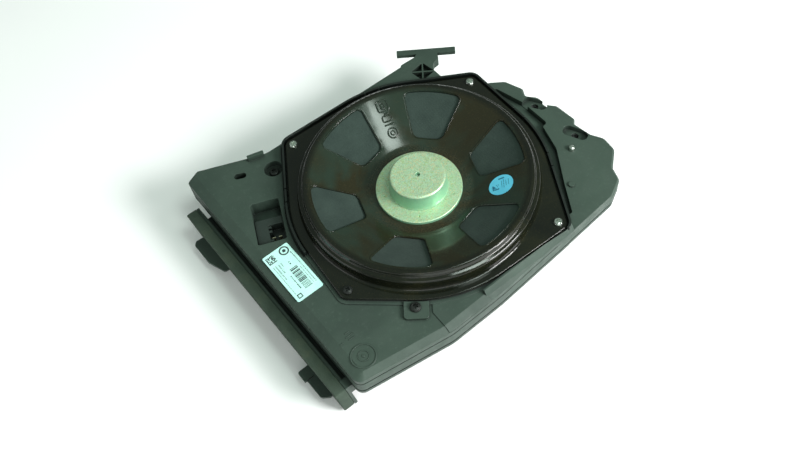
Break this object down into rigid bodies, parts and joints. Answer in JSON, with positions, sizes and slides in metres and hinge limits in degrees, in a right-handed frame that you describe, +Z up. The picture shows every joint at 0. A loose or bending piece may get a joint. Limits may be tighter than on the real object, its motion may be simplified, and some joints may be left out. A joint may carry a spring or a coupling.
{
  "type": "car under-seat subwoofer speaker",
  "caption": "Flat under-seat bass speaker for a car: moulded two-shell enclosure, steel-basket driver with its motor outwards, and a foam-sealed side outlet.",
  "frame": {"origin": "on the driver axis, at the flat underside of the enclosure", "axes": "+Z up, out of the driver along its axis; +Y along the outlet side; +X away from the outlet"},
  "size_m": [0.3172, 0.2562, 0.0753],
  "materials": {
    "housing_plastic": "fine moulded grain, semi-matt",
    "seal_foam": "closed-cell foam, matt",
    "seal_rubber": "matt",
    "black_screw": "black coated",
    "connector_plastic": "semi-matt",
    "tinned_brass": "tinned",
    "wire_cover": "semi-gloss",
    "basket_enamel": "glossy black-brown enamel",
    "vent_cloth": "felted, matt",
    "bright_screw": "bright zinc",
    "zinc_plate": "yellow-green passivated zinc",
    "magnet_nickel": "nickel plated",
    "spider_cloth": "resin-treated cloth",
    "braid_copper": "braided",
    "coil_former": "film",
    "coil_copper": "enamelled wire",
    "cone_fibre": "pressed fibre",
    "surround_rubber": "matt",
    "label_film": "printed film",
    "label_blue": "printed film"
  },
  "bodies": {
    "housing": {"upper_housing": "housing_plastic", "lower_housing": "housing_plastic", "outlet_seal": "seal_foam", "shell_seal": "seal_rubber", "shell_screws": "black_screw", "connector_socket": "connector_plastic", "connector_pins": "tinned_brass", "lead_wires": "wire_cover", "driver_basket": "basket_enamel", "window_cloths": "vent_cloth", "driver_gasket": "seal_rubber", "driver_screws": "bright_screw", "motor_ring": "zinc_plate", "motor_pot": "zinc_plate", "magnet_disc": "magnet_nickel", "pole_plate": "zinc_plate", "spider_ring": "connector_plastic", "spider": "spider_cloth", "terminal_block": "connector_plastic", "terminal_tags": "tinned_brass", "tinsel_leads": "braid_copper", "surround": "surround_rubber", "part_label": "label_film", "oval_label": "label_blue", "locating_stud": "bright_screw"},
    "diaphragm": {"cone": "cone_fibre", "dust_cap": "cone_fibre", "voice_coil_former": "coil_former", "voice_coil_winding": "coil_copper"}
  },
  "joints": [
    {"name": "cone_excursion", "type": "slide", "parent": "housing", "child": "diaphragm", "axis": [0, 0, 1], "range_m": [-0.006, 0.006], "stiffness_N_per_m": 2500, "deforming": ["surround", "spider", "tinsel_leads"]}
  ]
}
